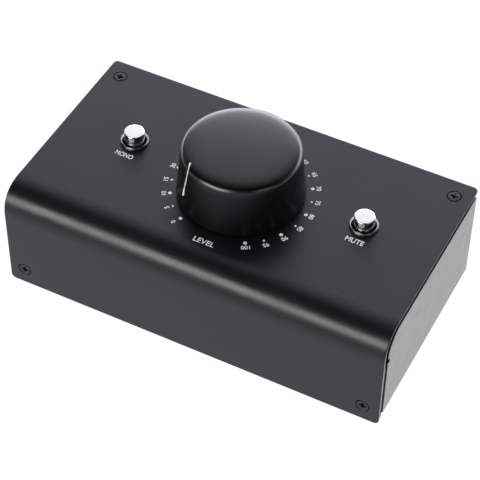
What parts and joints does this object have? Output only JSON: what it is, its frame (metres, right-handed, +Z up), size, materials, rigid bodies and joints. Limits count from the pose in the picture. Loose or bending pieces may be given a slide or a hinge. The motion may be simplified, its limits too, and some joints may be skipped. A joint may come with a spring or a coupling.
{
  "type": "studio monitor controller",
  "caption": "Desktop level control for powered loudspeakers: folded metal case, large turned knob, sprung push buttons and rear audio sockets.",
  "frame": {"origin": "middle of the footprint, on the surface that the rubber feet stand on", "axes": "+X to the right along the width, +Y towards the rear panel with the sockets, +Z up along the knob's axis"},
  "size_m": [0.155, 0.0842, 0.0722],
  "materials": {
    "powder_coat": "fine satin powder coat",
    "zinc_plate": "satin zinc plate",
    "black_anodised": "satin black anodised",
    "chrome": "polished",
    "white_paint": "filled white line",
    "rubber": "matt",
    "black_screw": "blackened steel",
    "bright_steel": "nickel plate",
    "black_plastic": "moulded",
    "circuit_board": "green solder mask",
    "gold_plate": "gold plate",
    "grey_cable": "flat ribbon"
  },
  "bodies": {
    "case": {"cover": "powder_coat", "cover_screw_front_left": "black_screw", "cover_screw_front_right": "black_screw", "cover_screw_rear_left": "black_screw", "cover_screw_rear_right": "black_screw", "tray": "zinc_plate", "foot_front_left": "rubber", "foot_front_right": "rubber", "foot_rear_left": "rubber", "foot_rear_right": "rubber", "potentiometer": "bright_steel", "potentiometer_washer": "bright_steel", "potentiometer_nut": "bright_steel", "mono_button_bezel": "chrome", "mono_switch": "black_plastic", "mono_switch_spring": "bright_steel", "mute_button_bezel": "chrome", "mute_switch": "black_plastic", "mute_switch_spring": "bright_steel", "control_board": "circuit_board", "spacer_front_left": "bright_steel", "spacer_front_right": "bright_steel", "spacer_rear_left": "bright_steel", "spacer_rear_right": "bright_steel", "board_screw_front_left": "bright_steel", "board_screw_front_right": "bright_steel", "board_screw_rear_left": "bright_steel", "board_screw_rear_right": "bright_steel", "connector_board": "circuit_board", "flat_cable": "grey_cable", "left_input_socket": "black_plastic", "left_input_screw_upper": "black_screw", "left_input_screw_lower": "black_screw", "right_input_socket": "black_plastic", "right_input_screw_upper": "black_screw", "right_input_screw_lower": "black_screw", "left_output_shell": "bright_steel", "left_output_insert": "black_plastic", "left_output_pin_1": "gold_plate", "left_output_pin_2": "gold_plate", "left_output_pin_3": "gold_plate", "left_output_screw_upper": "black_screw", "left_output_screw_lower": "black_screw", "right_output_shell": "bright_steel", "right_output_insert": "black_plastic", "right_output_pin_1": "gold_plate", "right_output_pin_2": "gold_plate", "right_output_pin_3": "gold_plate", "right_output_screw_upper": "black_screw", "right_output_screw_lower": "black_screw"},
    "volume_control": {"level_knob": "black_anodised", "knob_pointer": "white_paint", "knob_grub_screw": "black_screw", "potentiometer_shaft": "bright_steel"},
    "mono_button": {"mono_button_cap": "chrome", "mono_switch_plunger": "black_plastic"},
    "mute_button": {"mute_button_cap": "chrome", "mute_switch_plunger": "black_plastic"},
    "left_latch": {"left_input_latch": "bright_steel"},
    "right_latch": {"right_input_latch": "bright_steel"}
  },
  "joints": [
    {"name": "volume_turn", "type": "hinge", "parent": "case", "child": "volume_control", "pos_m": [0, 0, 0.048], "axis": [0, 0, -1], "range_deg": [-6.5, 293.5]},
    {"name": "mono_press", "type": "slide", "parent": "case", "child": "mono_button", "axis": [0, 0, -1], "range_m": [0, 0.0025], "stiffness_N_per_m": 400, "deforming": ["mono_switch_spring"]},
    {"name": "mute_press", "type": "slide", "parent": "case", "child": "mute_button", "axis": [0, 0, -1], "range_m": [0, 0.0025], "stiffness_N_per_m": 400, "deforming": ["mute_switch_spring"]},
    {"name": "left_latch_press", "type": "slide", "parent": "case", "child": "left_latch", "axis": [0, -1, 0], "range_m": [0, 0.0018], "stiffness_N_per_m": 600},
    {"name": "right_latch_press", "type": "slide", "parent": "case", "child": "right_latch", "axis": [0, -1, 0], "range_m": [0, 0.0018], "stiffness_N_per_m": 600}
  ]
}
